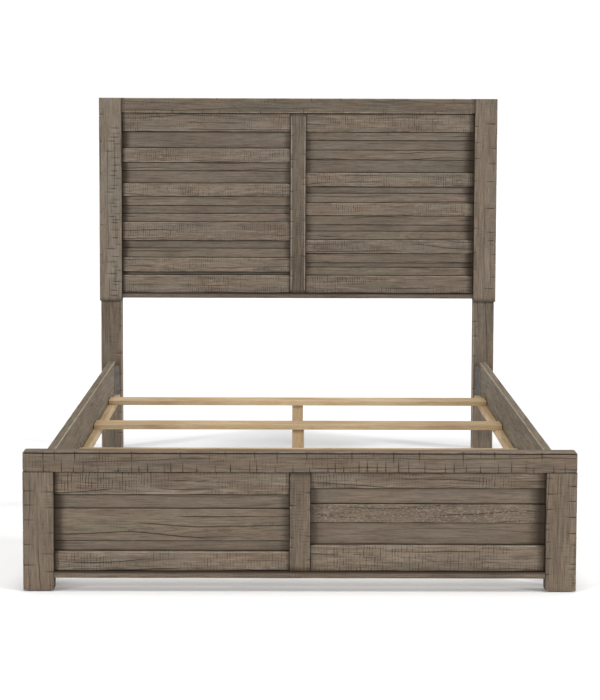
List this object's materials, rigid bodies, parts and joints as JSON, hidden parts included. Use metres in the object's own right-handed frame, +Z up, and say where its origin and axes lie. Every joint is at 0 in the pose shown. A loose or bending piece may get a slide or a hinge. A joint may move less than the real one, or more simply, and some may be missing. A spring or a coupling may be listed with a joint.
{
  "type": "wooden bed frame",
  "caption": "Rustic wooden panel bed frame for a queen-size mattress, with a tall boarded headboard, a low footboard, hook-on side rails and slats on centre legs with levelling feet.",
  "frame": {"origin": "on the floor under the middle of the bed's outer box", "axes": "+X to the right seen from the foot, +Y from the footboard to the headboard, +Z up"},
  "size_m": [1.7, 2.184, 1.52],
  "materials": {
    "weathered_frame": "distressed, dry, worn light on the arrises",
    "sawn_boards": "reclaimed, saw-marked",
    "planed_boards": "reclaimed, lightly planed",
    "smooth_boards": "smooth, long grain",
    "backing_panel": "plain stained plywood",
    "rail_timber": "distressed, dry",
    "slat_timber": "bare softwood",
    "plate_steel": "zinc plated",
    "screw_steel": "zinc plated",
    "bolt_steel": "zinc plated",
    "insert_brass": "plain",
    "levelling_foot": "matt moulded foot on a plated stem",
    "glide_plastic": "matt moulded"
  },
  "bodies": {
    "bed_frame": {"cleat_left": "slat_timber", "cleat_right": "slat_timber", "cleat_screws": "screw_steel", "corner_glides": "glide_plastic", "footboard_back_panel": "backing_panel", "footboard_board_left_1": "sawn_boards", "footboard_board_left_2": "smooth_boards", "footboard_board_left_3": "planed_boards", "footboard_board_left_4": "smooth_boards", "footboard_board_left_5": "sawn_boards", "footboard_board_right_1": "sawn_boards", "footboard_board_right_2": "smooth_boards", "footboard_board_right_3": "planed_boards", "footboard_board_right_4": "smooth_boards", "footboard_board_right_5": "sawn_boards", "footboard_bottom_rail": "weathered_frame", "footboard_leg_left": "weathered_frame", "footboard_leg_right": "weathered_frame", "footboard_stile": "weathered_frame", "footboard_top_rail": "weathered_frame", "headboard_back_panel": "backing_panel", "headboard_bottom_rail": "weathered_frame", "headboard_left_medium_boards": "planed_boards", "headboard_left_thick_boards": "sawn_boards", "headboard_left_thin_boards": "smooth_boards", "headboard_leg_left": "weathered_frame", "headboard_leg_right": "weathered_frame", "headboard_post_left": "weathered_frame", "headboard_post_right": "weathered_frame", "headboard_right_medium_boards": "planed_boards", "headboard_right_thick_boards": "sawn_boards", "headboard_right_thin_boards": "smooth_boards", "headboard_stile": "weathered_frame", "headboard_top_rail": "weathered_frame", "hook_plate_screws": "screw_steel", "hook_plates": "plate_steel", "leg_bolts": "bolt_steel", "leg_inserts": "insert_brass", "leg_washers": "bolt_steel", "levelling_nuts": "screw_steel", "side_rail_left": "rail_timber", "side_rail_right": "rail_timber", "slat_1": "slat_timber", "slat_2": "slat_timber", "slat_3": "slat_timber", "slat_4": "slat_timber", "slat_screws": "screw_steel", "slotted_plate_screws": "screw_steel", "slotted_plates": "plate_steel", "support_leg_1": "slat_timber", "support_leg_2": "slat_timber", "support_leg_3": "slat_timber", "support_leg_4": "slat_timber", "support_leg_screws": "screw_steel"},
    "levelling_foot_1": {"levelling_foot_1": "levelling_foot"},
    "levelling_foot_2": {"levelling_foot_2": "levelling_foot"},
    "levelling_foot_3": {"levelling_foot_3": "levelling_foot"},
    "levelling_foot_4": {"levelling_foot_4": "levelling_foot"}
  },
  "joints": [
    {"name": "levelling_foot_1_screw", "type": "slide", "parent": "bed_frame", "child": "levelling_foot_1", "axis": [0, 0, 1], "range_m": [-0.012, 0.012]},
    {"name": "levelling_foot_2_screw", "type": "slide", "parent": "bed_frame", "child": "levelling_foot_2", "axis": [0, 0, 1], "range_m": [-0.012, 0.012]},
    {"name": "levelling_foot_3_screw", "type": "slide", "parent": "bed_frame", "child": "levelling_foot_3", "axis": [0, 0, 1], "range_m": [-0.012, 0.012]},
    {"name": "levelling_foot_4_screw", "type": "slide", "parent": "bed_frame", "child": "levelling_foot_4", "axis": [0, 0, 1], "range_m": [-0.012, 0.012]}
  ]
}
